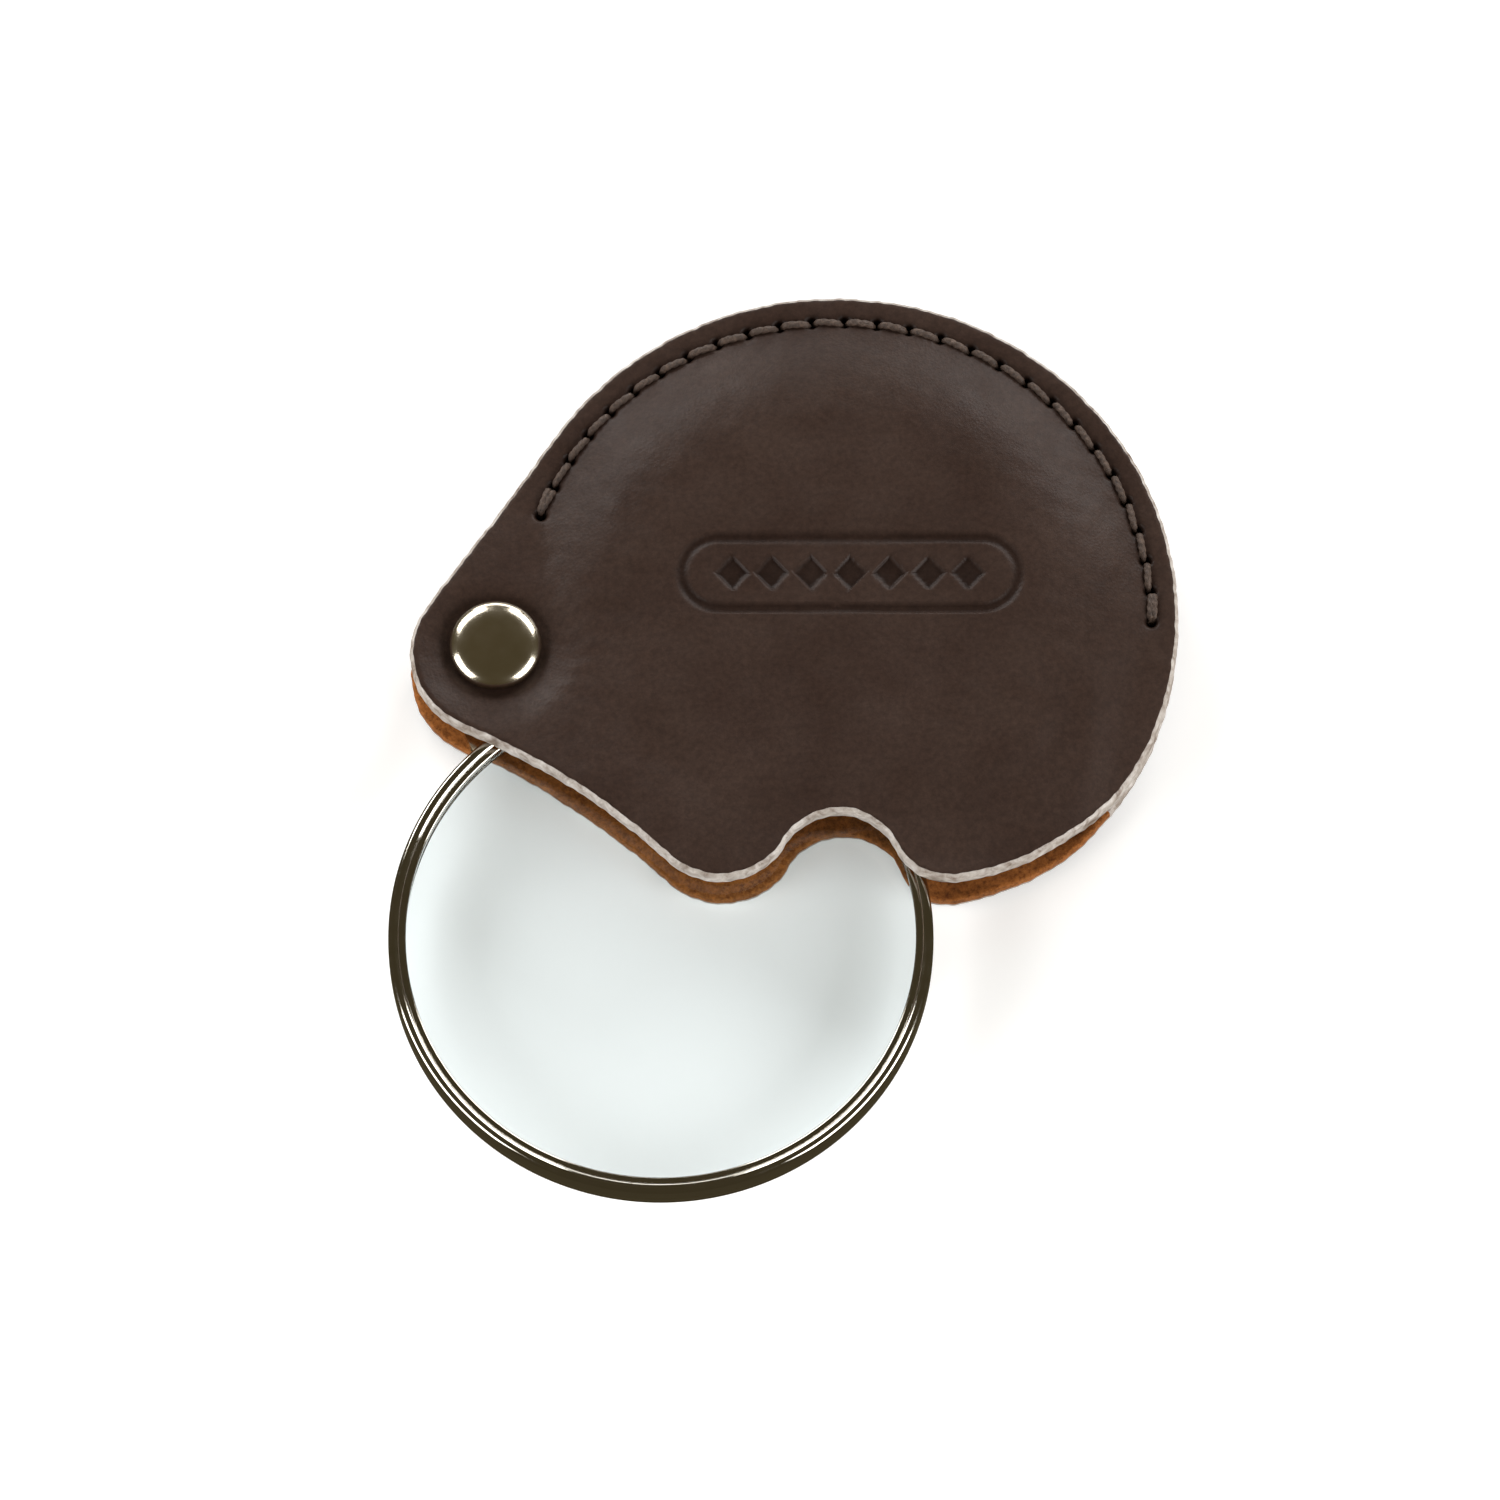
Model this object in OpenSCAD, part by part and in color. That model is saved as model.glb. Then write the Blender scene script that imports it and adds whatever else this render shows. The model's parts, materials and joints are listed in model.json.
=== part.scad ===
// Folding pocket magnifier: a round lens in a nickel rim swings on a rivet
// out of a case made of two leather leaves, stitched along their far edge.
// The origin is on the flat face the case rests on, under the pocket's centre.
// The rivet lies on -X, the stitched edge on +Y and the front leaf on +Z.

/* [Case] */
// Distance from the rivet to the centre of the round pocket and of the lens
swing_r = 36.7; // [36.5:0.1:37.5]
// Radius of the round end of the leaves
pocket_r = 36.6; // [36:0.1:37.2]
// Radius of the leaves round the rivet
heel_r = 9.4; // [9.2:0.1:10]
// How far the centre of that round sits below the rivet
heel_drop = 1; // [0.8:0.1:1.2]
// Thickness of the leather
leather_t = 2.2; // [1.8:0.1:2.4]
// Half of the gap between the leaves over the pocket
gap_half = 3.8; // [3.8:0.1:4.4]

/* [Mouth] */
// Radius of the lobe beside the thumb notch
lobe_r = 7.9; // [7.6:0.1:8.2]
// Radius of the thumb notch
notch_r = 6.6; // [6.2:0.1:7]
// Radius of the corner past the thumb notch
corner_r = 6.2; // [6:0.1:7]
// Radius of the shallow hollow between the rivet and the lobe
shoulder_r = 86; // [70:1:110]
// Radius that blends the corner into the round end
flare_r = 27.5; // [27:0.5:29]

/* [Seam] */
// Distance of the stitch line from the edge
seam_in = 2.9; // [2.5:0.1:3.1]
// Number of stitches
stitches = 27; // [20:1:30]
// Diameter of the thread
thread_d = 0.8; // [0.6:0.1:0.8]

/* [Rivet] */
// Diameter of the caps
cap_d = 10; // [9.6:0.1:10.2]
// Height of the caps above the leather
cap_h = 2.1; // [1.9:0.1:2.4]
// Diameter of the tube that the lug turns on
tube_d = 4; // [3.6:0.1:4.2]
// Diameter of the post pressed into the tube
post_d = 2.6; // [2.2:0.1:2.8]

/* [Lens] */
// Outer radius of the rim
rim_r = 29; // [28.8:0.1:29.2]
// Height of the rim
rim_h = 3.9; // [3.7:0.1:3.9]
// Radius of the clear opening
clear_r = 27.1; // [27:0.1:27.3]
// Thickness of the lens at its edge
lens_edge = 1.6; // [1.4:0.1:1.7]
// Height of each curved face of the lens
lens_sag = 2.4; // [2:0.1:2.4]
// Angle by which the lens is swung out of the case
swing_out = 67.3; // [0:0.1:180]

/* [Lug] */
// Thickness of the lug
lug_t = 1.5; // [1.3:0.1:1.5]
// Radius of its eye
eye_r = 7; // [6.5:0.1:7.2]
// Width of its foot along the rim
foot_w = 15; // [14:0.5:16]

/* [Hidden] */

$fn = 96;
FAR = 130;                          // larger than the case
DEEP = 12;                          // taller than one leaf
turn_fit = 0.05;                    // radial clearance of the lug on the tube
rest_fit = 0.03;                    // clearance between pieces that do not move
mid_z = gap_half + leather_t;       // height of the plane the lens swings in

// The leaves' outline
POCKET = [swing_r, 0];
HEEL = [0.2, -heel_drop];
NOTCH = [33.7, -30];
lobe_turn = 145;                    // direction of the lobe from the notch
flare_turn = -29;                   // direction in which the round end blends into the flare
FLARE = POCKET + (pocket_r - flare_r) * dir(flare_turn);
LOBE = NOTCH + (notch_r + lobe_r) * dir(lobe_turn);
CORNER = meet(FLARE, flare_r - corner_r, NOTCH, notch_r + corner_r);
SHOULDER = meet(LOBE, shoulder_r + lobe_r, HEEL, shoulder_r + heel_r);
flank_turn = bearing(HEEL, POCKET) + 90 + asin((pocket_r - heel_r) / norm(POCKET - HEEL));

// The seam
stitch_r = pocket_r - seam_in;
seam_from = -7.5;
seam_to = 154;
seam_band_r = stitch_r - thread_d / 2;
hole_d = thread_d + 0.1;
groove_d = thread_d + 0.3;
leg_d = thread_d - 0.1;
thread_z = leather_t + 0.05;
leg_turn = asin(hole_d / 2 / stitch_r);

// The space between the leaves
seat_gap = lug_t / 2 + turn_fit;
seat_r = 5.6;                       // flat seat of the leaves round the rivet
channel_r = 9.4;                    // inner radius of the channel that the lens sweeps
sweep = 192;                        // angle that the channel covers, back from +X
pocket_steep = 0.6;
pocket_rise = 4.2;
wedge_slope = 0.135;
wedge_turn = bearing(POCKET + stitch_r * dir(seam_to), POCKET + stitch_r * dir(seam_from));
CHORD = POCKET + stitch_r * dir(seam_to);
side_slope = 0.144;                 // slope from the far end of the mouth, where the leaves close
side_turn = -35.3;
side_from = -38;                    // direction of that end from the pocket's centre
SIDE = POCKET + stitch_r * dir(side_from);
lens_gap = 0.35;
rim_gap = 0.3;

// The rivet
sheet_t = 0.3;
flange_t = 0.4;
lip_t = 0.25;
cap_z = seat_gap + leather_t;
flange_r = cap_d / 2 - sheet_t - rest_fit;
cap_wall = 0.9;                     // height of the cap's upright wall
lip_w = 0.6;

// The rim and the lens
rim_half = rim_h / 2;
rim_flat = 0.8;                     // half height of the flat band round the rim
rim_round = 1.4;                    // depth of its rounded shoulders
rim_far = swing_r + rim_r;          // how far the rim reaches from the rivet
channel_end = rim_far + 1.5;
face_r = clear_r - 0.1;             // radius of the lens's curved faces
lens_r = clear_r + 0.95;
split_w = 0.4;
split_l = 4;
foot_in = 3;                        // how far the lug's foot reaches in from the rim's radius
sphere_r = (face_r * face_r + lens_sag * lens_sag) / (2 * lens_sag);

function dir(a) = [cos(a), sin(a)];
function bearing(a, b) = atan2(b.y - a.y, b.x - a.x);

// Where a circle round a and a circle round b cross, on the left of the way from a to b
function meet(a, ra, b, rb) =
    let (d = norm(b - a), x = (d * d + ra * ra - rb * rb) / (2 * d), y = sqrt(ra * ra - x * x))
    a + x * dir(bearing(a, b)) + y * dir(bearing(a, b) + 90);

// Points of an arc, from one direction to another
function arc(c, r, from, to, n) = [for (i = [0:n]) c + r * dir(from + (to - from) * i / n)];

// The same direction, given within half a turn of another one
function near(a, ref) = a - 360 * round((a - ref) / 360);

function tanh(x) = (exp(2 * x) - 1) / (exp(2 * x) + 1);

// A profile of [radius, height] points moved outward by t along its normals
function raised(p, t) = [for (i = [0:len(p) - 1])
    let (a = i > 0 ? bearing(p[i - 1], p[i]) : bearing(p[0], p[1]),
         b = i < len(p) - 1 ? bearing(p[i], p[i + 1]) : a)
    p[i] + t / cos((b - a) / 2) * dir((a + b) / 2 + 90)];

// The outline of a leaf, anticlockwise from the stitched flank
function leaf_outline() =
    let (heel_to = near(bearing(HEEL, SHOULDER), 240),
         lobe_from = near(bearing(LOBE, SHOULDER), -130),
         lobe_to = near(bearing(LOBE, NOTCH), -40),
         corner_from = near(bearing(CORNER, NOTCH), -165),
         corner_to = near(bearing(FLARE, CORNER), -75))
    concat(arc(HEEL, heel_r, flank_turn, heel_to, 16),
           arc(SHOULDER, shoulder_r, heel_to - 180, lobe_from + 180, 10),
           arc(LOBE, lobe_r, lobe_from, lobe_to, 14),
           arc(NOTCH, notch_r, lobe_to + 180, near(corner_from + 180, 20), 14),
           arc(CORNER, corner_r, corner_from, corner_to, 14),
           arc(FLARE, flare_r, corner_to, flare_turn, 8),
           arc(POCKET, pocket_r, flare_turn, flank_turn, 64));

// Height of the pocket's inner face at a distance d in from the seam
function pocket_height(d) = pocket_rise * tanh(pocket_steep * (sqrt(d * d + 1) - 1) / pocket_rise);

POCKET_PROFILE = concat([[0, DEEP / 2], [10, DEEP / 2]],
    [for (d = [16, 12, 9, 7, 5.5, 4, 2.8, 1.8, 0.9, 0]) [seam_band_r - d, pocket_height(d)]]);
SEAT_PROFILE = [[0, seat_gap], [seat_r, seat_gap], [channel_r, 2.4], [20, 4], [26, 9]];

// Half height of the room that the swinging lens needs, from the far side of the rim to the near side
function lens_half(s) = lens_edge / 2 + lens_sag * (1 - pow(s / clear_r, 2));
SWEEP_PROFILE = concat(
    [for (s = concat([channel_r - swing_r], [for (i = [-24:4:24]) i]))
        [swing_r + s, max(rim_half + rim_gap, lens_half(s) + lens_gap)]],
    [[rim_far - rim_round - 0.1, rim_half + rim_gap],
     [rim_far - 0.5, rim_half - 0.05],
     [rim_far + rim_gap, rim_flat + rim_gap],
     [channel_end, 0]]);

// Everything below is drawn round the rivet and moved into the part's frame
module placed() translate([-swing_r, 0, mid_z]) children();

// The far side of the middle plane is the mirror image of the near side
module under() mirror([0, 0, 1]) children();

module spun(profile, outside) rotate_extrude($fn = 180)
    polygon(concat([[0, -1]], profile, [[outside, profile[len(profile) - 1].y], [outside, -1]]));

// A wedge that opens from the line through p, on its right side
module wedge(p, turn, slope, lift) translate([p.x, p.y, 0])
    rotate([90, 0, turn - 90])
    translate([0, 0, -FAR])
    linear_extrude(2 * FAR)
    polygon([[0, -1], [FAR, -1], [FAR, lift + slope * FAR], [0, lift]]);

// The space under a leaf, or with its thickness added, the leaf's outer body
module bulge(t) {
    intersection() {
        union() {
            translate([POCKET.x, 0, 0])
            spun(t > 0 ? raised(POCKET_PROFILE, t) : POCKET_PROFILE, t > 0 ? FAR : seam_band_r);
            intersection() {
                wedge(CHORD, wedge_turn, wedge_slope, t);
                wedge(SIDE, side_turn, side_slope, t);
            }
        }
        spun(t > 0 ? raised(SEAT_PROFILE, t) : SEAT_PROFILE, FAR);
        translate([-FAR, -FAR, -1])
        cube([2 * FAR, 2 * FAR, 1 + gap_half + t]);
    }
    rotate(-sweep)
    rotate_extrude(angle = sweep, $fn = 180)
    polygon(concat([[channel_r, -1]], t > 0 ? raised(SWEEP_PROFILE, t) : SWEEP_PROFILE, [[channel_end, -1]]));
}

// Each place where the needle went through, with its direction from the pocket's centre
module at_stitches() for (i = [0:stitches])
    translate([POCKET.x, 0, 0])
    rotate(seam_from + (seam_to - seam_from) * i / stitches)
    translate([stitch_r, 0, 0])
    children();

module leaf() difference() {
    intersection() {
        linear_extrude(DEEP) polygon(leaf_outline());
        bulge(leather_t);
    }
    bulge(0);
    translate([0, 0, -1]) cylinder(h = DEEP, d = tube_d + 2 * rest_fit);
    at_stitches() translate([0, 0, -1]) cylinder(h = DEEP, d = hole_d, $fn = 24);
    translate([POCKET.x, 0, leather_t])
    rotate(seam_from)
    rotate_extrude(angle = seam_to - seam_from, $fn = 180)
    translate([stitch_r, 0]) circle(d = groove_d, $fn = 16);
}

// The thread's run along the groove, with the legs that go down to the middle of the seam
module stitch_row() {
    at_stitches() cylinder(h = thread_z, d = leg_d, $fn = 24);
    translate([POCKET.x, 0, thread_z])
    rotate(seam_from - leg_turn)
    rotate_extrude(angle = seam_to - seam_from + 2 * leg_turn, $fn = 180)
    translate([stitch_r, 0]) circle(d = thread_d, $fn = 16);
}

// A drawn cap with its edge turned in under the flange it holds
module rivet_cap() {
    crown_r = (pow(cap_d / 2, 2) + pow(cap_h - cap_wall, 2)) / (2 * (cap_h - cap_wall));
    crown = [for (i = [0:8]) let (x = cap_d / 2 * (1 - i / 8))
        [x, sqrt(crown_r * crown_r - x * x) + cap_h - crown_r]];
    room = cap_d / 2 - sheet_t;
    translate([0, 0, cap_z])
    difference() {
        rotate_extrude() polygon(concat([[0, 0], [cap_d / 2, 0]], crown));
        translate([0, 0, lip_t]) cylinder(h = cap_wall - lip_t, r = room);
        translate([0, 0, -1]) cylinder(h = 1 + cap_wall / 2, r = room - lip_w);
    }
}

module flange() translate([0, 0, cap_z + lip_t]) cylinder(h = flange_t, r = flange_r);

// The rim's half round section, without its groove
function rim_side(n) = [for (i = [0:n]) let (a = 90 * i / n)
    [rim_r - rim_round + rim_round * cos(a), rim_flat + (rim_half - rim_flat) * sin(a)]];

module on_lens() rotate(-swing_out) translate([swing_r, 0, 0]) children();

module front_leaf() color("#3b2f2b") placed() leaf();

module back_leaf() color("#7a4a28") placed() under() leaf();

module needle_thread() color("#7d6450") placed() stitch_row();

module bobbin_thread() color("#7d6450") placed() under() stitch_row();

module front_cap() color("#c9c2b4") placed() rivet_cap();

module back_cap() color("#c9c2b4") placed() under() rivet_cap();

module rivet_post() color("#b8b2a6") placed() {
    flange();
    translate([0, 0, -cap_z]) cylinder(h = 2 * cap_z + lip_t, d = post_d - 2 * rest_fit);
}

module rivet_tube() color("#b8b2a6") placed() difference() {
    union() {
        under() flange();
        translate([0, 0, -cap_z - lip_t]) cylinder(h = 2 * cap_z + 2 * lip_t - rest_fit, d = tube_d);
    }
    translate([0, 0, -cap_z - rest_fit]) cylinder(h = DEEP, d = post_d);
}

module rim() color("#cfcac0") placed() on_lens() difference() {
    rotate_extrude($fn = 180) difference() {
        polygon(concat([for (i = [8:-1:0]) [rim_side(8)[i].x, -rim_side(8)[i].y]], rim_side(8),
                       [[clear_r, rim_half], [clear_r, -rim_half]]));
        translate([0, -lens_edge / 2 - rest_fit]) square([lens_r + rest_fit, lens_edge + 2 * rest_fit]);
    }
    translate([-rim_r - 1, -split_w / 2, -DEEP / 2]) cube([split_l, split_w, DEEP]);
}

// A flat tab: an eye round the rivet, and a foot that fits the rim and closes its split
module lug() color("#bdb8ae") placed() on_lens() {
    translate([0, 0, -lug_t / 2])
    linear_extrude(lug_t)
    difference() {
        union() {
            translate([-swing_r, 0]) circle(r = eye_r);
            polygon([[-swing_r, eye_r], [-swing_r, -eye_r],
                     [foot_in - rim_r, -foot_w / 2], [foot_in - rim_r, foot_w / 2]]);
        }
        translate([-swing_r, 0]) circle(d = tube_d + 2 * turn_fit);
        circle(r = rim_r, $fn = 180);
    }
}

module lens() color("#dfeeec", 0.4) placed() on_lens() {
    translate([0, 0, -lens_edge / 2]) cylinder(h = lens_edge, r = lens_r, $fn = 180);
    for (side = [0, 1]) mirror([0, 0, side])
        intersection() {
            translate([0, 0, lens_edge / 2 + lens_sag - sphere_r]) sphere(r = sphere_r, $fn = 360);
            cylinder(h = DEEP, r = face_r, $fn = 180);
        }
}

front_leaf();
back_leaf();
needle_thread();
bobbin_thread();
front_cap();
rivet_post();
back_cap();
rivet_tube();
rim();
lug();
lens();
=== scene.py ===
"""Looks of a folding pocket magnifier: leather leaves, thread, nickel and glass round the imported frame."""

import json
import math

import bpy
import numpy as np
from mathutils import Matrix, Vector


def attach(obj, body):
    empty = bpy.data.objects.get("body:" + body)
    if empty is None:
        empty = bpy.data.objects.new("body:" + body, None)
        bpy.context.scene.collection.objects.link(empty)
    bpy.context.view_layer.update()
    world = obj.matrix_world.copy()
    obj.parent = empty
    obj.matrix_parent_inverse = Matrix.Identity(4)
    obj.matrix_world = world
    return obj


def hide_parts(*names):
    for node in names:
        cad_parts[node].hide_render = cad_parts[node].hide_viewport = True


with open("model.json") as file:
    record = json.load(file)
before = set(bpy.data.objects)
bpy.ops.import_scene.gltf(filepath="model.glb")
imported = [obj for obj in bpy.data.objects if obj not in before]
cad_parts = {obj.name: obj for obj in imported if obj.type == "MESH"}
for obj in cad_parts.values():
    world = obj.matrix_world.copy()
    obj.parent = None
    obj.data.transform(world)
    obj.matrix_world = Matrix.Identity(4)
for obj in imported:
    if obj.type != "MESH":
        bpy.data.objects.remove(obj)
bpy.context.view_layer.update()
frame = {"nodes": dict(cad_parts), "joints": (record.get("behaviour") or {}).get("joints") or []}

# ---------------------------------------------------------------- sizes, in millimetres
MM = 0.001

PIVOT = np.array(frame["joints"][0]["pos_m"][:2]) / MM
MID_Z = frame["joints"][0]["pos_m"][2] / MM
SWING_R = -PIVOT[0]
SWING_OUT = -67.3                      # direction of the lens from the rivet, in degrees
LENS_AT = PIVOT + SWING_R * np.array([math.cos(math.radians(SWING_OUT)), math.sin(math.radians(SWING_OUT))])

LEATHER_T = 2.2
GAP_HALF = MID_Z - LEATHER_T           # most that the gap between the leaves may be, halved

# the outline's arcs
POCKET_R, HEEL_R, SHOULDER_R = 36.6, 9.4, 86.0
LOBE_R, NOTCH_R, CORNER_R, FLARE_R = 7.9, 6.6, 6.2, 27.5
HEEL = PIVOT + np.array([0.2, -1.0])
NOTCH = PIVOT + np.array([33.7, -30.0])
LOBE_TURN = 145.0                      # direction of the lobe from the notch
FLARE_TURN = -29.0                     # direction in which the round end blends into the flare

# the seam
SEAM_FROM, SEAM_TO, STITCHES = -7.5, 154.0, 27
STITCH_R = POCKET_R - 2.9
SEAM_BAND_R = STITCH_R - 0.4
THREAD_R, HOLE_R = 0.36, 0.56
PLIES, PLY_DEPTH, PLY_TWIST = 3, 0.13, 2.4     # strands, their groove as a share, radians per millimetre

# the rim, the lens and the rivet
RIM_R, RIM_HALF, CLEAR_R = 29.0, 1.95, 27.1
BEAD_IN_R = 27.85                      # where the rim's bead ends and its flat lip begins
LENS_R, LENS_EDGE, LENS_SAG = CLEAR_R + 0.95, 1.6, 2.4
CAP_R, CAP_H, SEAT_GAP = 5.0, 2.1, 0.8
CAP_Z = SEAT_GAP + LEATHER_T

# the space between the leaves
SEAT_R = 5.6                           # flat seat of the leaves round the rivet
CHANNEL_R = 9.4                        # inner radius of the channel that the lens sweeps
SWEEP_END = 168                        # direction, from the rivet, at which the channel ends
POCKET_STEEP, POCKET_RISE = 0.6, 4.2
WEDGE_SLOPE = 0.135                    # slope from the seam's ends towards the mouth
SIDE_FROM, SIDE_TURN, SIDE_SLOPE = -38.0, -35.3, 0.144     # the mouth's far end, where the leaves close
LENS_GAP, RIM_GAP = 0.35, 0.3          # clearance over the swinging lens and rim
RIM_FAR = SWING_R + RIM_R              # how far the rim reaches from the rivet

# the leaves' meshes
RAYS = 960                             # columns round the outline
EDGE_TOP, EDGE_BOTTOM = 0.7, 0.35      # how far the rounding of the cut edge reaches in
EDGE_FALL = 0.62                       # how far the grain side falls over the edge


def turn(degrees):
    """Unit vector in a direction given in degrees."""
    return np.array([math.cos(math.radians(degrees)), math.sin(math.radians(degrees))])


def bearing(a, b):
    return math.degrees(math.atan2(b[1] - a[1], b[0] - a[0]))


def near(angle, reference):
    """The same direction, given within half a turn of another one."""
    return angle - 360 * round((angle - reference) / 360)


# ---------------------------------------------------------------- the leaves' outline
def meet(a, ra, b, rb):
    """Where two circles cross, on the left of the way from a to b."""
    d = np.linalg.norm(b - a)
    x = (d * d + ra * ra - rb * rb) / (2 * d)
    along = bearing(a, b)
    return a + x * turn(along) + math.sqrt(ra * ra - x * x) * turn(along + 90)


def arc(centre, radius, start, end):
    count = max(8, int(abs(end - start) * radius / 2))
    return [centre + radius * turn(start + (end - start) * i / count) for i in range(count)]


def leaf_outline():
    """The outline in the part's frame, anticlockwise, as evenly spaced points with outward normals."""
    pocket = np.zeros(2)
    flare = pocket + (POCKET_R - FLARE_R) * turn(FLARE_TURN)
    lobe = NOTCH + (NOTCH_R + LOBE_R) * turn(LOBE_TURN)
    corner = meet(flare, FLARE_R - CORNER_R, NOTCH, NOTCH_R + CORNER_R)
    shoulder = meet(lobe, SHOULDER_R + LOBE_R, HEEL, SHOULDER_R + HEEL_R)
    flank = bearing(HEEL, pocket) + 90 + math.degrees(math.asin((POCKET_R - HEEL_R) / np.linalg.norm(HEEL)))
    heel_to = near(bearing(HEEL, shoulder), 240)
    lobe_from = near(bearing(lobe, shoulder), -130)
    lobe_to = near(bearing(lobe, NOTCH), -40)
    corner_from = near(bearing(corner, NOTCH), -165)
    corner_to = near(bearing(flare, corner), -75)
    points = (arc(HEEL, HEEL_R, flank, heel_to)
              + arc(shoulder, SHOULDER_R, heel_to - 180, lobe_from + 180)
              + arc(lobe, LOBE_R, lobe_from, lobe_to)
              + arc(NOTCH, NOTCH_R, lobe_to + 180, near(corner_from + 180, 20))
              + arc(corner, CORNER_R, corner_from, corner_to)
              + arc(flare, FLARE_R, corner_to, FLARE_TURN)
              + arc(pocket, POCKET_R, FLARE_TURN, flank))
    points = np.array(points + points[:1])
    length = np.concatenate([[0], np.cumsum(np.linalg.norm(np.diff(points, axis=0), axis=1))])
    at = np.linspace(0, length[-1], RAYS, endpoint=False)
    even = np.stack([np.interp(at, length, points[:, k]) for k in (0, 1)], axis=1)
    along = np.roll(even, -1, axis=0) - np.roll(even, 1, axis=0)
    along /= np.linalg.norm(along, axis=1)[:, None]
    return even, np.stack([along[:, 1], -along[:, 0]], axis=1)


# ---------------------------------------------------------------- the space between the leaves
def pocket_gap(r):
    d = np.maximum(SEAM_BAND_R - r, 0)
    return POCKET_RISE * np.tanh(POCKET_STEEP * (np.sqrt(d * d + 1) - 1) / POCKET_RISE)


def lens_room(rho):
    """Half height that the swinging lens and rim need at a distance from the rivet."""
    s = np.abs(rho - SWING_R)
    lens = LENS_EDGE / 2 + LENS_SAG * (1 - (s / CLEAR_R) ** 2) + LENS_GAP
    room = np.maximum(lens, RIM_HALF + RIM_GAP)
    fade_at = RIM_FAR + np.array([-1.5, -0.5, 0.3, 1.5])
    fade = np.interp(rho, fade_at, [RIM_HALF + RIM_GAP, 1.9, 1.1, 0.0])
    return np.where(rho < fade_at[0], room, fade)


def half_gap(x, y):
    """Half of the gap between the leaves, by the rules of the CAD model."""
    rho = np.hypot(x - PIVOT[0], y)
    seam_a, seam_b = STITCH_R * turn(SEAM_TO), STITCH_R * turn(SEAM_FROM)
    chord = math.radians(bearing(seam_a, seam_b))
    side_end, side = STITCH_R * turn(SIDE_FROM), math.radians(SIDE_TURN)
    deep = (x - seam_a[0]) * math.sin(chord) - (y - seam_a[1]) * math.cos(chord)
    aside = (x - side_end[0]) * math.sin(side) - (y - side_end[1]) * math.cos(side)
    wedge = np.minimum(WEDGE_SLOPE * deep, SIDE_SLOPE * aside)
    seat = np.interp(rho, [SEAT_R, CHANNEL_R, 20, 26], [SEAT_GAP, 2.4, 4.0, 9.0])
    gap = np.minimum(np.minimum(np.maximum(pocket_gap(np.hypot(x, y)), wedge), seat), GAP_HALF)
    swept = np.degrees(np.arctan2(y, x - PIVOT[0]))
    in_sweep = ((swept <= 0) | (swept > SWEEP_END)) & (rho > CHANNEL_R)
    return np.maximum(np.where(in_sweep, np.maximum(gap, lens_room(rho)), gap), 0)


GRID_STEP = 0.25
GRID_X = np.arange(-56, 48, GRID_STEP)     # the grid reaches a few millimetres past the case
GRID_Y = np.arange(-48, 48, GRID_STEP)


def blurred(field, sigma):
    """A field on the grid, smoothed over sigma millimetres."""
    reach = int(3 * sigma / GRID_STEP)
    kernel = np.exp(-0.5 * (np.arange(-reach, reach + 1) * GRID_STEP / sigma) ** 2)
    kernel /= kernel.sum()
    wide = np.pad(field, reach, mode="edge")
    wide = np.apply_along_axis(lambda row: np.convolve(row, kernel, "valid"), 1, wide)
    return np.apply_along_axis(lambda row: np.convolve(row, kernel, "valid"), 0, wide)


def sampled(field, x, y):
    """The field between its grid points."""
    u = (x - GRID_X[0]) / GRID_STEP
    v = (y - GRID_Y[0]) / GRID_STEP
    i = np.clip(u.astype(int), 0, len(GRID_X) - 2)
    j = np.clip(v.astype(int), 0, len(GRID_Y) - 2)
    a, b = u - i, v - j
    return ((1 - b) * ((1 - a) * field[j, i] + a * field[j, i + 1])
            + b * ((1 - a) * field[j + 1, i] + a * field[j + 1, i + 1]))


GAP = half_gap(*np.meshgrid(GRID_X, GRID_Y))
INSIDE = np.maximum(blurred(GAP, 0.5), GAP - 0.1)      # the flesh side follows the gap closely
OUTSIDE = blurred(np.minimum(GAP, GAP_HALF), 1.1)      # the grain side bridges its corners


# ---------------------------------------------------------------- detail on the leather
def smooth_step(t):
    t = np.clip(t, 0, 1)
    return t * t * (3 - 2 * t)


def ripple(x, y, seed, scale, count=24):
    """Smooth seeded noise from a sum of waves, about -1 to 1."""
    rng = np.random.default_rng(seed)
    angles, phases = rng.uniform(0, 2 * math.pi, count), rng.uniform(0, 2 * math.pi, count)
    total = np.zeros_like(x)
    for angle, phase, stretch in zip(angles, phases, rng.uniform(0.6, 1.7, count)):
        along = x * math.cos(angle) + y * math.sin(angle)
        total += np.sin(along * 2 * math.pi * stretch / scale + phase)
    return total / math.sqrt(count)


def bell(distance, width):
    """1 at no distance, falling off smoothly over a width."""
    return np.exp(-0.5 * (distance / width) ** 2)


def hole_points():
    return [STITCH_R * turn(SEAM_FROM + (SEAM_TO - SEAM_FROM) * i / STITCHES) for i in range(STITCHES + 1)]


LINE_DEPTH, PIT_DEPTH, PUCKER_DEPTH = 0.16, 0.95, 0.10


def seam_relief(x, y):
    """The pressed stitching line with a pit at each needle hole."""
    r = np.hypot(x, y)
    angle = np.degrees(np.arctan2(y, x))
    on_seam = smooth_step((angle - SEAM_FROM + 2) / 2) * smooth_step((SEAM_TO + 2 - angle) / 2)
    relief = -LINE_DEPTH * bell(r - STITCH_R, 0.55) * on_seam
    for hx, hy in hole_points():
        d = np.hypot(x - hx, y - hy)
        relief -= PIT_DEPTH * smooth_step(1.25 - d / (1.25 * HOLE_R)) + PUCKER_DEPTH * bell(d, 1.0)
    return relief


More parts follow.
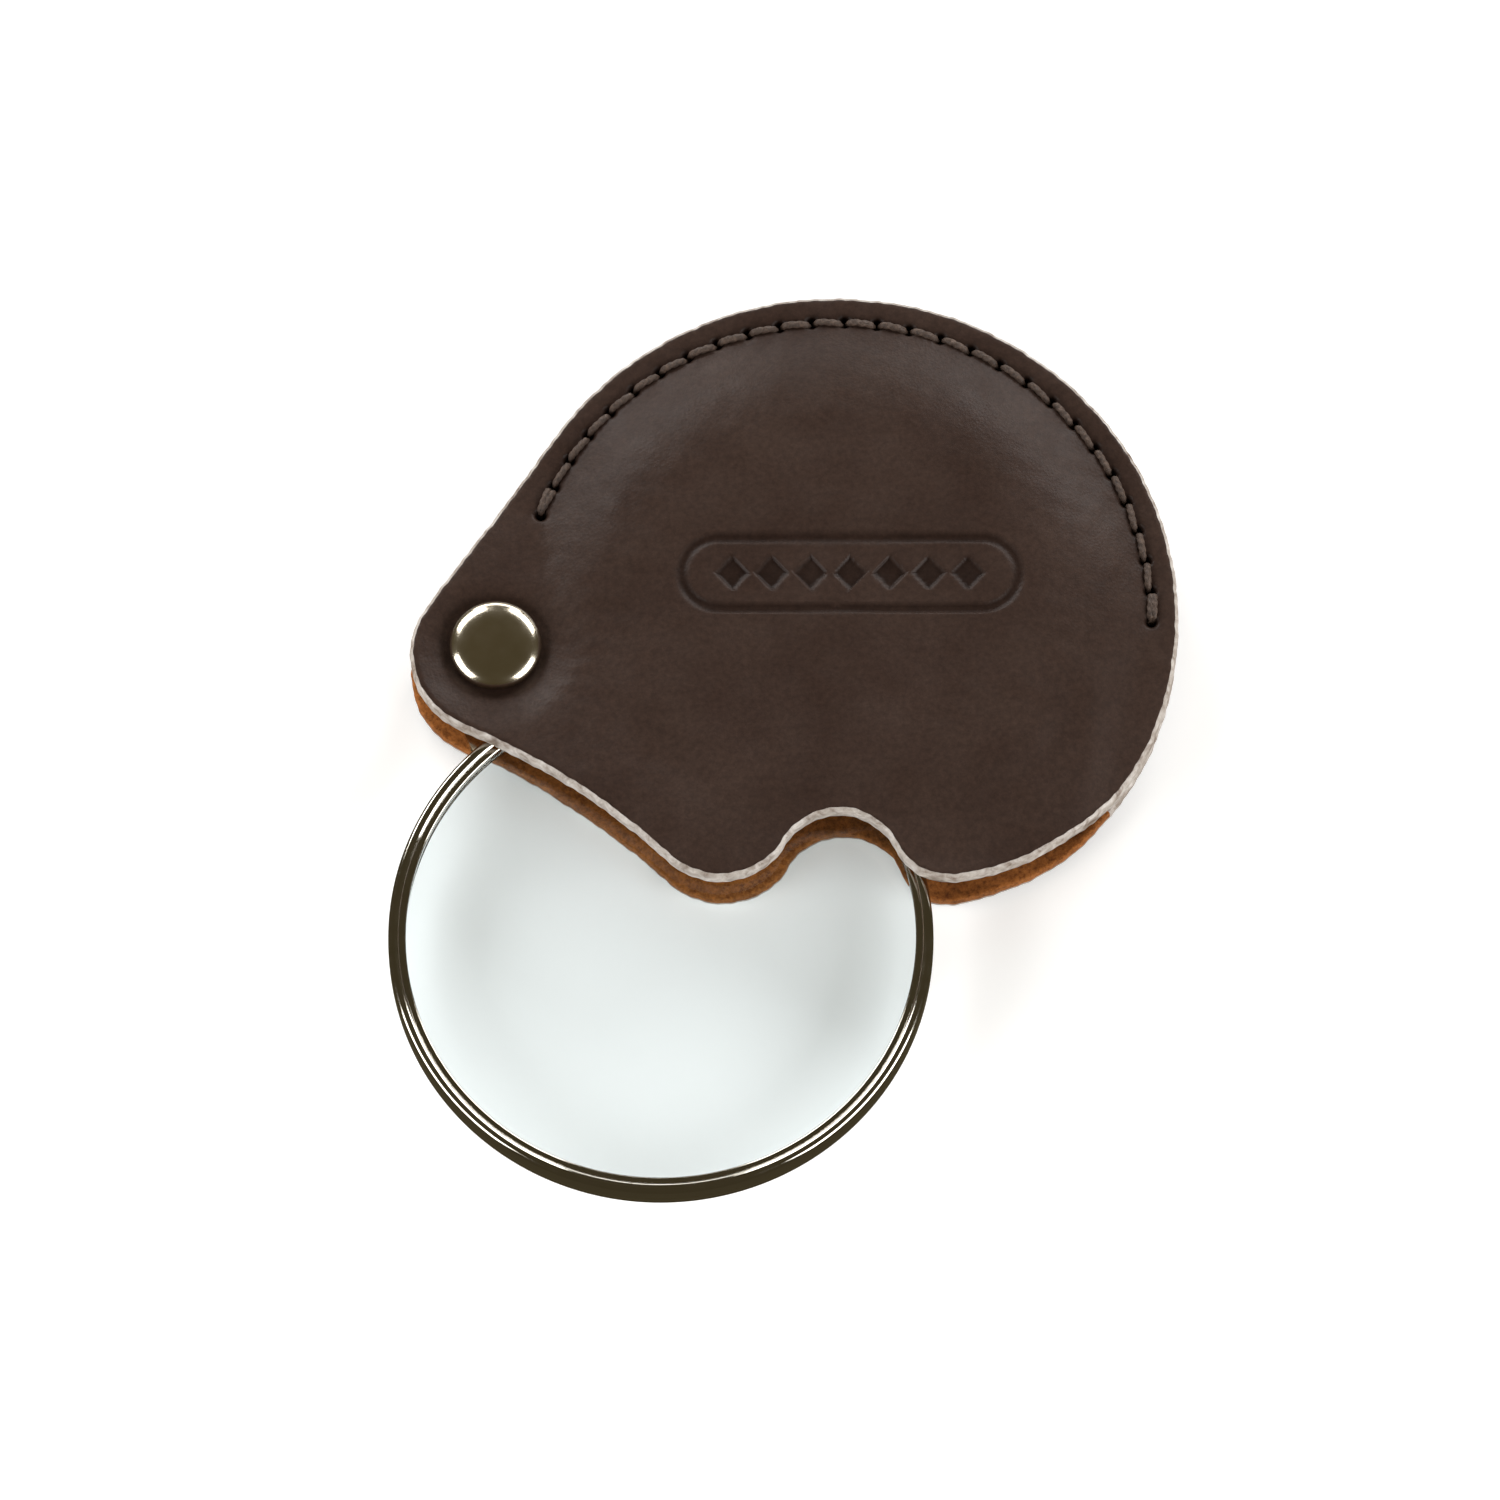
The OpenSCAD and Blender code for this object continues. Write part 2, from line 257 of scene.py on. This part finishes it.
ORNAMENT_AT = np.array([1.8, 3.2])
ORNAMENT_TURN = -6.2
ORNAMENT_HALF, ORNAMENT_RISE = 18.0, 4.0   # half length and half height of the border
CREASE_DEPTH, LOZENGE_DEPTH = 0.30, 0.34
LOZENGE_STEP, LOZENGE_X, LOZENGE_Y = 4.2, 1.75, 1.95


def ornament_relief(x, y):
    """A blind-tooled border: a long creased oval round a row of plain lozenges. It has no lettering."""
    along, across = turn(ORNAMENT_TURN), turn(ORNAMENT_TURN + 90)
    u = (x - ORNAMENT_AT[0]) * along[0] + (y - ORNAMENT_AT[1]) * along[1]
    v = (x - ORNAMENT_AT[0]) * across[0] + (y - ORNAMENT_AT[1]) * across[1]
    straight = ORNAMENT_HALF - ORNAMENT_RISE
    crease = np.abs(np.hypot(np.maximum(np.abs(u) - straight, 0), v) - ORNAMENT_RISE)
    depth = CREASE_DEPTH * smooth_step(1.5 - crease / 0.5)
    for k in range(-3, 4):
        lozenge = np.abs(u - LOZENGE_STEP * k) / LOZENGE_X + np.abs(v) / LOZENGE_Y
        depth = np.maximum(depth, LOZENGE_DEPTH * smooth_step((1.12 - lozenge) / 0.24))
    return -depth


CAP_RING_R = CAP_R + 0.1               # where the cap's edge presses into the leather


def leather_relief(x, y, tooled):
    """Small heights of the grain side, in millimetres."""
    rho = np.hypot(x - PIVOT[0], y)
    toward = np.arctan2(y, x - PIVOT[0])
    waves = 0.045 * ripple(x, y, 11, 14.0) + 0.015 * ripple(x, y, 12, 4.0)
    creases = 0.018 * bell(rho - 9.5, 2.8) * bell(toward, 0.9) * np.sin(26 * toward + 1.5 * np.sin(rho))
    relief = seam_relief(x, y) + waves - 0.22 * bell(rho - CAP_RING_R, 0.5) + creases
    if tooled:
        relief += ornament_relief(x, y)
    return relief


def burnish_and_shade(x, y, tooled):
    """How far the grain is darkened, from 0 to 1: painted shade in the needle holes, along the seam's pressed
    line and round the cap's edge, and in the ornament partly a real tooled burnish and partly painted shade.
    """
    rho = np.hypot(x - PIVOT[0], y)
    # painted shade, deepest down the needle holes, with a fainter ring where the cap's edge meets the leather
    dark = np.clip(-seam_relief(x, y) / 0.6, 0, 1) + 0.5 * bell(rho - CAP_RING_R, 0.6)
    if tooled:
        # the ornament's hollows: partly real burnish of the tooling, partly painted shade
        dark = dark + 0.6 * np.clip(-ornament_relief(x, y) / LOZENGE_DEPTH, 0, 1)
    return np.clip(dark, 0, 1)


# ---------------------------------------------------------------- meshes
def new_object(name, vertices, faces, materials, face_material=None, body="case"):
    """A smooth-shaded mesh object from millimetres, riding on a body."""
    mesh = bpy.data.meshes.new(name)
    mesh.from_pydata([tuple(v) for v in np.asarray(vertices) * MM], [], [tuple(f) for f in faces])
    for material in materials:
        mesh.materials.append(material)
    if face_material is not None:
        mesh.polygons.foreach_set("material_index", np.asarray(face_material, dtype=np.int32))
    mesh.polygons.foreach_set("use_smooth", [True] * len(mesh.polygons))
    mesh.update()
    piece = bpy.data.objects.new(name, mesh)
    bpy.context.scene.collection.objects.link(piece)
    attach(piece, body)
    return piece


def ring_faces(rows, columns, closed=True):
    """Quads between rows of points. closed joins each row's end to its start."""
    faces = []
    for i in range(rows - 1):
        for j in range(columns if closed else columns - 1):
            k = (j + 1) % columns
            faces.append((i * columns + j, i * columns + k, (i + 1) * columns + k, (i + 1) * columns + j))
    return faces


def ring_steps(fine, fine_to, coarse):
    """Distances in from the rounded edge, as shares of the way to the middle."""
    reach = POCKET_R - EDGE_TOP
    steps = list(np.arange(0, fine_to, fine)) + list(np.arange(fine_to, reach - 0.6, coarse))
    return 1 - np.array(steps) / reach


def edge_wobble():
    """How far a hand-cut edge strays in and out, column by column."""
    index = np.arange(RAYS)
    waves = ((37, 1.0), (61, 2.2), (113, 0.4), (171, 5.0))
    return 0.022 * sum(np.sin(2 * math.pi * index * count / RAYS + phase) for count, phase in waves)


def leaf_piece(name, node, side, tooled, materials):
    """One leather leaf. side is 1 for the front leaf and -1 for the back leaf."""
    outline, normal = leaf_outline()
    wobble = edge_wobble()
    grain_side, cut_side, flesh_side = np.full(RAYS, 0), np.full(RAYS, 1), np.full(RAYS, 2)
    just_inside = outline - normal
    open_edge = sampled(INSIDE, just_inside[:, 0], just_inside[:, 1]) > 0.5
    lower_wall = np.where(open_edge & (side < 0), flesh_side, cut_side)
    rows, zone = [], []

    def skin(share, inset):
        """The outline moved in by an inset, then drawn to a share of its size."""
        return (outline - (inset + wobble)[:, None] * normal) * share

    def lower(xy):
        return sampled(INSIDE, xy[:, 0], xy[:, 1])

    def upper(xy):
        x, y = xy[:, 0], xy[:, 1]
        plain = np.maximum(sampled(OUTSIDE, x, y), lower(xy) - 0.25) + LEATHER_T
        return np.minimum(plain + leather_relief(x, y, tooled), GAP_HALF + LEATHER_T + 0.02)

    def add_row(xy, z, material):
        rows.append(np.column_stack([xy, z]))
        zone.append(material)

    for share in ring_steps(0.2, 4.4, 0.32)[::-1]:
        xy = skin(share, EDGE_TOP)
        add_row(xy, upper(xy), grain_side)
    brink = skin(1, EDGE_TOP)
    brink_top, brink_bottom = upper(brink), lower(brink)
    for degrees in range(15, 91, 15):
        s, c = math.sin(math.radians(degrees)), math.cos(math.radians(degrees))
        add_row(skin(1, EDGE_TOP * (1 - s)), brink_top - EDGE_FALL * (1 - c),
                grain_side if degrees <= 30 else cut_side)
    for drop, bulge, material in ((0.42, 0.0, cut_side), (0.58, 0.03, lower_wall), (0.74, 0.0, lower_wall)):
        add_row(skin(1, -bulge), brink_top + (brink_bottom - brink_top) * drop, material)
    for degrees in (30, 60, 90):
        s, c = math.sin(math.radians(degrees)), math.cos(math.radians(degrees))
        add_row(skin(1, EDGE_BOTTOM * (1 - c)), brink_bottom + EDGE_BOTTOM * (1 - s), lower_wall)
    for share in ring_steps(0.5, 4.0, 1.1)[1:]:
        xy = skin(share, EDGE_BOTTOM)
        add_row(xy, lower(xy), flesh_side)

    faces = ring_faces(len(rows), RAYS)
    last = (len(rows) - 1) * RAYS
    top = last + RAYS
    bottom = top + 1
    centre = np.zeros((1, 2))
    rows += [np.column_stack([centre, upper(centre)]), np.column_stack([centre, lower(centre)])]
    points = np.concatenate(rows)
    for j in range(RAYS):
        k = (j + 1) % RAYS
        faces.append((top, k, j))
        faces.append((bottom, last + j, last + k))
    materials_of = np.concatenate([*zone[1:], np.tile([0, 2], RAYS)])
    points[:, 2] = MID_Z + side * points[:, 2]
    if side > 0:
        faces = [f[::-1] for f in faces]
    piece = new_object(name, points, faces, materials, materials_of)
    # per-point darkening: painted shade in the seam's holes and round the cap, partly real burnish and partly
    # painted shade in the ornament
    shade_and_burnish = burnish_and_shade(points[:, 0], points[:, 1], tooled).astype(np.float32)
    piece.data.attributes.new("burnish_and_shade", "FLOAT", "POINT").data.foreach_set("value", shade_and_burnish)
    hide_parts(node)


def plied_tube(path, radius, sides=18):
    """A closed tube along a path, its section lobed and twisted like plied thread."""
    path = np.asarray(path)
    tangent = np.gradient(path, axis=0)
    tangent /= np.linalg.norm(tangent, axis=1)[:, None]
    travelled = np.concatenate([[0], np.cumsum(np.linalg.norm(np.diff(path, axis=0), axis=1))])
    up = np.array([0.0, 0.0, 1.0])
    side = np.cross(tangent[len(path) // 2], up)
    side /= np.linalg.norm(side)
    points = []
    for p, t, s in zip(path, tangent, travelled):
        over = np.cross(side, t)
        for k in range(sides):
            a = 2 * math.pi * k / sides
            r = radius * (1 + PLY_DEPTH * math.cos(PLIES * (a - PLY_TWIST * s)))
            points.append(p + r * (math.cos(a) * side + math.sin(a) * over))
    faces = ring_faces(len(path), sides)
    faces.append(tuple(range(sides))[::-1])
    faces.append(tuple((len(path) - 1) * sides + k for k in range(sides)))
    return points, faces


def stitch_path(a, b, depth, lift):
    """From inside one needle hole, over the leather, into the next."""
    path = []
    for t in np.linspace(0, 1, 19):
        shoulder = min(t, 1 - t) / 0.25
        height = -depth * (1 - smooth_step(np.array(shoulder))) + lift * math.sin(math.pi * t)
        pull = 0.5 - (0.5 - t) * (1 - 0.10 * (1 - min(1.0, shoulder)))
        path.append(np.array([*(a + (b - a) * pull), float(height)]))
    return np.array(path)


def thread_piece(name, node, side, material):
    """A row of stitches on one face of the seam, each lying on the leather between two holes."""
    rng = np.random.default_rng(5 if side > 0 else 6)
    holes = hole_points()
    locks = [(holes[0], holes[1]), (holes[-1], holes[-2])]     # each end is sewn over twice, side by side
    pairs = list(zip(holes, holes[1:])) + [(a * 1.012, b * 1.010) for a, b in locks]
    points, faces = [], []
    for a, b in pairs:
        slant = rng.normal(0.17, 0.04)
        a = a * (1 - slant / STITCH_R)
        b = b * (1 + slant / STITCH_R)
        path = stitch_path(a, b, 1.2, rng.normal(0.12, 0.02))
        path[:, 2] += LEATHER_T - 0.06
        tube, tube_faces = plied_tube(path, THREAD_R * rng.normal(1, 0.03))
        faces += [tuple(len(points) + v for v in f) for f in tube_faces]
        points += tube
    points = np.array(points)
    points[:, 2] = MID_Z + side * points[:, 2]
    if side < 0:
        faces = [f[::-1] for f in faces]
    piece = new_object(name, points, faces, [material])
    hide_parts(node)


def lathe(name, node, profile, centre, material, body, segments, gap=0.0, start=0.0, side=1):
    """A turned piece from a closed or axis-to-axis list of [radius, height]. gap is a split, in degrees."""
    profile = np.array(profile, float)
    solid = profile[0][0] < 1e-9
    turns = segments + 1 if gap else segments
    angles = np.radians(start + gap / 2 + (360 - gap) * np.arange(turns) / segments)
    ring = profile[1:-1] if solid else profile
    rows = len(ring)
    points = np.concatenate([np.column_stack([r * np.cos(angles), r * np.sin(angles), np.full(turns, z)])
                             for r, z in ring])
    faces = ring_faces(rows, turns, closed=not gap)
    if solid:
        first, last = len(points), len(points) + 1
        points = np.concatenate([points, [[0, 0, profile[0][1]], [0, 0, profile[-1][1]]]])
        for j in range(turns):
            k = (j + 1) % turns
            faces.append((first, k, j))
            faces.append((last, (rows - 1) * turns + j, (rows - 1) * turns + k))
    else:
        for j in range(segments):
            k = (j + 1) % turns
            faces.append(((rows - 1) * turns + j, (rows - 1) * turns + k, k, j))
        if gap:
            faces.append(tuple(i * turns for i in range(rows)))
            faces.append(tuple(i * turns + turns - 1 for i in range(rows))[::-1])
    points[:, 2] *= side
    points += np.array([centre[0], centre[1], MID_Z])
    if side > 0:
        faces = [f[::-1] for f in faces]
    piece = new_object(name, points, faces, [material], body=body)
    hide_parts(node)
    return piece


def cap_profile():
    """Half section of a drawn rivet cap: a low crown with a rounded shoulder and a thin turned-in foot."""
    wall = 0.35
    flatness, roundness = 3.2, 2.2         # exponents of the crown's superellipse, across and up
    crown = [[0.0, CAP_Z + CAP_H]]
    for a in np.radians(np.linspace(90, 0, 40))[1:]:
        z = wall + (CAP_H - wall) * math.sin(a) ** (2 / roundness)
        crown.append([CAP_R * math.cos(a) ** (2 / flatness), CAP_Z + z])
    foot = [[CAP_R, CAP_Z + 0.15], [CAP_R - 0.06, CAP_Z + 0.03], [CAP_R - 0.2, CAP_Z], [CAP_R - 0.9, CAP_Z]]
    inside = [[CAP_R - 0.9, CAP_Z + 0.2], [CAP_R - 0.35, CAP_Z + 0.25], [CAP_R - 0.35, CAP_Z + 0.7]]
    roof = [[r * 0.9, CAP_Z + 0.85] for r in (CAP_R - 0.6, 3.0, 0.0)]
    return crown + foot + inside + roof


def rim_profile():
    """Half section of the rim: a tall band, a rounded bead, a crease, and a flat lip beside the lens."""
    share, degrees = [0, 0.46, 0.74, 0.82, 0.95, 1], [0, 3, 88, 104, 122, 135]
    facing = np.radians(np.interp(np.linspace(0, 1, 60), share, degrees))   # how far the path has turned in
    steps = np.column_stack([-np.sin(facing), np.cos(facing)])
    path = np.concatenate([[[0, 0]], np.cumsum(steps, axis=0)])
    path *= [(RIM_R - BEAD_IN_R) / -path[-1, 0], RIM_HALF / path[:, 1].max()]
    bead = [[RIM_R + x, z] for x, z in path][1:]
    lip_z = bead[-1][1]
    lip = [[BEAD_IN_R - 0.05, lip_z - 0.07], [BEAD_IN_R - 0.11, lip_z - 0.03],
           [BEAD_IN_R - 0.17, lip_z - 0.02], [CLEAR_R + 0.2, lip_z - 0.05],
           [CLEAR_R + 0.1, lip_z - 0.09], [CLEAR_R + 0.02, lip_z - 0.18],
           [CLEAR_R, lip_z - 0.3], [CLEAR_R, LENS_EDGE / 2 + 0.03]]
    half = bead + lip + [[LENS_R + 0.03, LENS_EDGE / 2 + 0.03]]
    return half + [[r, -z] for r, z in half[::-1]]


def lens_profile():
    """Half section of a biconvex lens with a flat ground edge."""
    edge_r = CLEAR_R - 0.1
    sphere = (edge_r ** 2 + LENS_SAG ** 2) / (2 * LENS_SAG)
    face = [[r, LENS_EDGE / 2 + LENS_SAG - sphere + math.sqrt(sphere ** 2 - r * r)]
            for r in edge_r * np.linspace(0, 1, 40)]
    edge = [[LENS_R - 0.08, LENS_EDGE / 2], [LENS_R, LENS_EDGE / 2 - 0.08]]
    upper = face + edge
    return upper + [[r, -z] for r, z in upper[::-1]]


# ---------------------------------------------------------------- materials
def material_nodes(name):
    material = bpy.data.materials.new(name)
    material.use_nodes = True
    tree = material.node_tree
    return material, tree, tree.nodes["Principled BSDF"]


def add(tree, kind, **values):
    """A node with its sockets and properties set by name."""
    node = tree.nodes.new(kind)
    for key, value in values.items():
        if key in node.inputs:
            node.inputs[key].default_value = value
        else:
            setattr(node, key, value)
    return node


def ramp(tree, source, stops):
    node = add(tree, "ShaderNodeValToRGB")
    while len(node.color_ramp.elements) < len(stops):
        node.color_ramp.elements.new(0.5)
    for element, (at, color) in zip(node.color_ramp.elements, stops):
        element.position = at
        element.color = (*color, 1)
    tree.links.new(source, node.inputs["Fac"])
    return node.outputs["Color"]


def in_place(tree, node, output):
    """Gives a texture node the object's own coordinates."""
    place = tree.nodes.get("place") or add(tree, "ShaderNodeTexCoord")
    place.name = "place"
    tree.links.new(place.outputs["Object"], node.inputs["Vector"])
    return node.outputs[output]


def noise(tree, scale, detail=4.0, rough=0.55, distortion=0.0):
    node = add(tree, "ShaderNodeTexNoise", Scale=scale, Detail=detail, Roughness=rough, Distortion=distortion)
    return in_place(tree, node, "Fac")


def cells(tree, scale):
    return in_place(tree, add(tree, "ShaderNodeTexVoronoi", Scale=scale), "Distance")


def multiply(tree, *colors):
    """The product of several colour outputs."""
    product = colors[0]
    for color in colors[1:]:
        node = add(tree, "ShaderNodeMix", data_type="RGBA", blend_type="MULTIPLY")
        node.inputs[0].default_value = 1.0
        tree.links.new(product, node.inputs[6])
        tree.links.new(color, node.inputs[7])
        product = node.outputs[2]
    return product


def roughen(tree, shader, source, low, high):
    """Roughness that follows a source, from (place, value) to (place, value)."""
    stops = [(at, (value,) * 3) for at, value in (low, high)]
    tree.links.new(ramp(tree, source, stops), shader.inputs["Roughness"])


def bumps(tree, shader, layers):
    """Stacked bumps of (height, strength, depth in metres)."""
    under = None
    for height, strength, distance in layers:
        node = add(tree, "ShaderNodeBump", Strength=strength, Distance=distance)
        tree.links.new(height, node.inputs["Height"])
        if under:
            tree.links.new(under, node.inputs["Normal"])
        under = node.outputs["Normal"]
    tree.links.new(under, shader.inputs["Normal"])


def grain_leather():
    """Smooth dark-brown grain with fine pores, soft mottling and a waxed sheen."""
    material, tree, shader = material_nodes("leather_grain")
    base = ramp(tree, noise(tree, 90, 5, 0.6),
                [(0.3, (0.035, 0.0205, 0.0155)), (0.7, (0.050, 0.0315, 0.0245))])
    speck = ramp(tree, noise(tree, 1500, 3, 0.7), [(0.35, (0.80, 0.79, 0.79)), (0.7, (1.12, 1.09, 1.07))])
    # painted shade from the darkening attribute, near black down the needle holes and darker round the cap;
    # in the ornament partly real burnish
    shade_and_burnish = add(tree, "ShaderNodeAttribute", attribute_name="burnish_and_shade").outputs["Fac"]
    dark = ramp(tree, shade_and_burnish, [(0.0, (1, 1, 1)), (0.5, (0.62, 0.58, 0.56)), (1.0, (0.16, 0.14, 0.13))])
    tree.links.new(multiply(tree, base, speck, dark), shader.inputs["Base Color"])
    roughen(tree, shader, noise(tree, 260, 4), (0.3, 0.34), (0.75, 0.46))
    shader.inputs["Specular IOR Level"].default_value = 0.10
    bumps(tree, shader, [(cells(tree, 2600), 0.30, 0.00006), (noise(tree, 5200, 4, 0.65), 0.35, 0.00005),
                         (noise(tree, 420, 3), 0.25, 0.0001)])
    return material


def edge_leather():
    """The cut edge: silvery wax over tan, burnished, with dark nicks where the dye took."""
    material, tree, shader = material_nodes("leather_edge")
    base = ramp(tree, noise(tree, 700, 5, 0.65, 0.6),
                [(0.28, (0.15, 0.10, 0.07)), (0.46, (0.36, 0.31, 0.27)), (0.7, (0.60, 0.56, 0.52))])
    nick = ramp(tree, noise(tree, 260, 4, 0.6, 1.0), [(0.56, (1, 1, 1)), (0.70, (0.40, 0.32, 0.27))])
    tree.links.new(multiply(tree, base, nick), shader.inputs["Base Color"])
    roughen(tree, shader, noise(tree, 900, 3), (0.3, 0.28), (0.7, 0.5))
    bumps(tree, shader, [(noise(tree, 1500, 4, 0.7, 0.8), 0.3, 0.0001)])
    return material


def suede_leather():
    """The flesh side: tan suede with a short nap."""
    material, tree, shader = material_nodes("leather_suede")
    base = ramp(tree, noise(tree, 220, 4, 0.6), [(0.3, (0.19, 0.062, 0.014)), (0.7, (0.38, 0.135, 0.032))])
    nap = ramp(tree, noise(tree, 2000, 5, 0.75), [(0.32, (0.38, 0.34, 0.32)), (0.62, (1.3, 1.3, 1.3))])
    tree.links.new(multiply(tree, base, nap), shader.inputs["Base Color"])
    roughen(tree, shader, noise(tree, 500), (0.3, 0.85), (0.7, 1.0))
    shader.inputs["Specular IOR Level"].default_value = 0.1
    shader.inputs["Sheen Weight"].default_value = 0.2
    shader.inputs["Sheen Roughness"].default_value = 0.5
    shader.inputs["Sheen Tint"].default_value = (0.8, 0.45, 0.25, 1)
    bumps(tree, shader, [(noise(tree, 2600, 6, 0.8), 0.9, 0.0003), (noise(tree, 600, 3), 0.4, 0.0003)])
    return material


def waxed_thread():
    material, tree, shader = material_nodes("thread_waxed")
    base = ramp(tree, noise(tree, 2200, 4, 0.7),
                [(0.32, (0.032, 0.018, 0.012)), (0.55, (0.072, 0.044, 0.030)), (0.75, (0.150, 0.096, 0.068))])
    tree.links.new(base, shader.inputs["Base Color"])
    roughen(tree, shader, noise(tree, 1200), (0.3, 0.5), (0.7, 0.75))
    bumps(tree, shader, [(noise(tree, 6500, 3, 0.7), 0.7, 0.0001)])
    return material


def nickel(name, low, high, tint):
    """Warm nickel plate with a faint polish haze and hairline wear."""
    material, tree, shader = material_nodes(name)
    shader.inputs["Metallic"].default_value = 1.0
    color = ramp(tree, noise(tree, 220, 3), [(0.3, tint), (0.7, tuple(c * 1.05 for c in tint))])
    tree.links.new(color, shader.inputs["Base Color"])
    roughen(tree, shader, noise(tree, 650, 4), (0.3, low), (0.75, high))
    bumps(tree, shader, [(noise(tree, 1800, 2), 0.05, 0.00002)])
    return material


def lens_glass():
    """Faintly green glass with a slight uneven polish."""
    material, tree, shader = material_nodes("lens_glass")
    shader.inputs["Base Color"].default_value = (0.818, 0.883, 0.895, 1)
    shader.inputs["Transmission Weight"].default_value = 1.0
    shader.inputs["Specular IOR Level"].default_value = 0.06
    shader.inputs["IOR"].default_value = 1.5
    roughen(tree, shader, noise(tree, 120, 3), (0.55, 0.0), (0.8, 0.03))
    return material


def white_floor():
    """A matt white floor that glows a little, so that the shadows on it stay pale."""
    material, tree, shader = material_nodes("floor_white")
    base = ramp(tree, noise(tree, 30, 2), [(0.3, (0.90, 0.90, 0.90)), (0.7, (0.91, 0.91, 0.91))])
    tree.links.new(base, shader.inputs["Base Color"])
    shader.inputs["Roughness"].default_value = 0.9
    shader.inputs["Specular IOR Level"].default_value = 0.0
    shader.inputs["Emission Color"].default_value = (1.0, 0.995, 0.98, 1)
    shader.inputs["Emission Strength"].default_value = 0.3
    return material


# ---------------------------------------------------------------- the pieces
grain, edge, suede = grain_leather(), edge_leather(), suede_leather()
thread = waxed_thread()
# the rim's plate is tinted darker than the caps' plate: painted shade for the darker surroundings that the
# polished rim mirrors
polished = nickel("nickel_polished", 0.06, 0.15, (0.52, 0.49, 0.43))
satin = nickel("nickel_satin", 0.15, 0.19, (0.72, 0.65, 0.52))
steel = nickel("rivet_steel", 0.25, 0.4, (0.50, 0.49, 0.46))
glass = lens_glass()

leaf_piece("leaf_front", "front_leaf", 1, True, [grain, edge, suede])
leaf_piece("leaf_back", "back_leaf", -1, False, [grain, edge, suede])
thread_piece("stitches_front", "needle_thread", 1, thread)
thread_piece("stitches_back", "bobbin_thread", -1, thread)
lathe("cap_front", "front_cap", cap_profile(), PIVOT, satin, "case", 128)
lathe("cap_back", "back_cap", cap_profile(), PIVOT, satin, "case", 128, side=-1)
lathe("rim_ring", "rim", rim_profile(), LENS_AT, polished, "lens_frame", 360, gap=0.8, start=SWING_OUT + 180)
lens = lathe("lens_clear", "lens", lens_profile(), LENS_AT, glass, "lens_frame", 256)
lens.visible_shadow = False            # light passes straight through the glass to the floor
lens.visible_diffuse = False           # and is counted once

for node, material in (("lug", satin), ("rivet_post", steel), ("rivet_tube", steel)):
    slots = frame["nodes"][node].data.materials
    for k in range(len(slots)):
        slots[k] = material

# ---------------------------------------------------------------- floor, light and camera
FLOOR_HALF = 3.0                       # half the floor's width, in metres
floor_mesh = bpy.data.meshes.new("floor")
floor_mesh.from_pydata([(FLOOR_HALF * i, FLOOR_HALF * j, 0) for i, j in ((-1, -1), (1, -1), (1, 1), (-1, 1))],
                       [], [(0, 1, 2, 3)])
floor_mesh.materials.append(white_floor())
floor = bpy.data.objects.new("floor", floor_mesh)
bpy.context.scene.collection.objects.link(floor)
floor.visible_glossy = False           # the metal mirrors the dark studio and its lamps, and not the floor

# lengths from here on are in metres
AIM = Vector((-10.8, -13.56, MID_Z)) * MM
RIGHT_TURN = -6.2                      # direction of the picture's right in the part's frame
ELEVATION = 70.0
DISTANCE = 1.5
VIEW_WIDTH = 0.1603                    # width of the view at the plane of the lens


def placed_at(azimuth, elevation, distance):
    """A point around the aim. Azimuth 0 is the camera's side, and it grows to the picture's right."""
    flat = turn(RIGHT_TURN - 90 + azimuth) * math.cos(math.radians(elevation))
    return AIM + distance * Vector((flat[0], flat[1], math.sin(math.radians(elevation))))


def looking(obj, at, target):
    obj.location = at
    obj.rotation_euler = (target - at).to_track_quat("-Z", "Y").to_euler()


def softbox(name, azimuth, elevation, distance, width, height, watts):
    """A rectangular lamp that faces the aim."""
    light = bpy.data.lights.new(name, "AREA")
    light.shape = "RECTANGLE"
    light.size, light.size_y = width, height
    light.energy = watts
    box = bpy.data.objects.new(name, light)
    bpy.context.scene.collection.objects.link(box)
    looking(box, placed_at(azimuth, elevation, distance), AIM)
    box.visible_transmission = False   # no lamp is seen mirrored on the far face of the glass


softbox("light_back_left", 212, 25, 1.3, 0.8, 0.46, 9.6)
softbox("light_back_right", 148, 25, 1.3, 0.8, 0.46, 9.6)
softbox("light_back_low", 180, 7, 1.3, 1.1, 0.22, 3.6)
softbox("light_left", -68, 21, 1.1, 0.85, 0.72, 11.4)
softbox("light_right", 62, 22, 1.1, 0.85, 0.74, 13.4)

world = bpy.data.worlds.new("studio")
bpy.context.scene.world = world
world.use_nodes = True
world.node_tree.nodes["Background"].inputs["Color"].default_value = (0.072, 0.058, 0.032, 1)
world.node_tree.nodes["Background"].inputs["Strength"].default_value = 1.0
bpy.context.scene.view_settings.view_transform = "Standard"

camera_data = bpy.data.cameras.new("camera")
camera_data.sensor_width = 36
camera_data.lens = 36 * DISTANCE / VIEW_WIDTH
camera_data.clip_start, camera_data.clip_end = 0.05, 20
camera = bpy.data.objects.new("camera", camera_data)
bpy.context.scene.collection.objects.link(camera)
looking(camera, placed_at(0, ELEVATION, DISTANCE), AIM)
bpy.context.scene.camera = camera

bpy.context.view_layer.update()
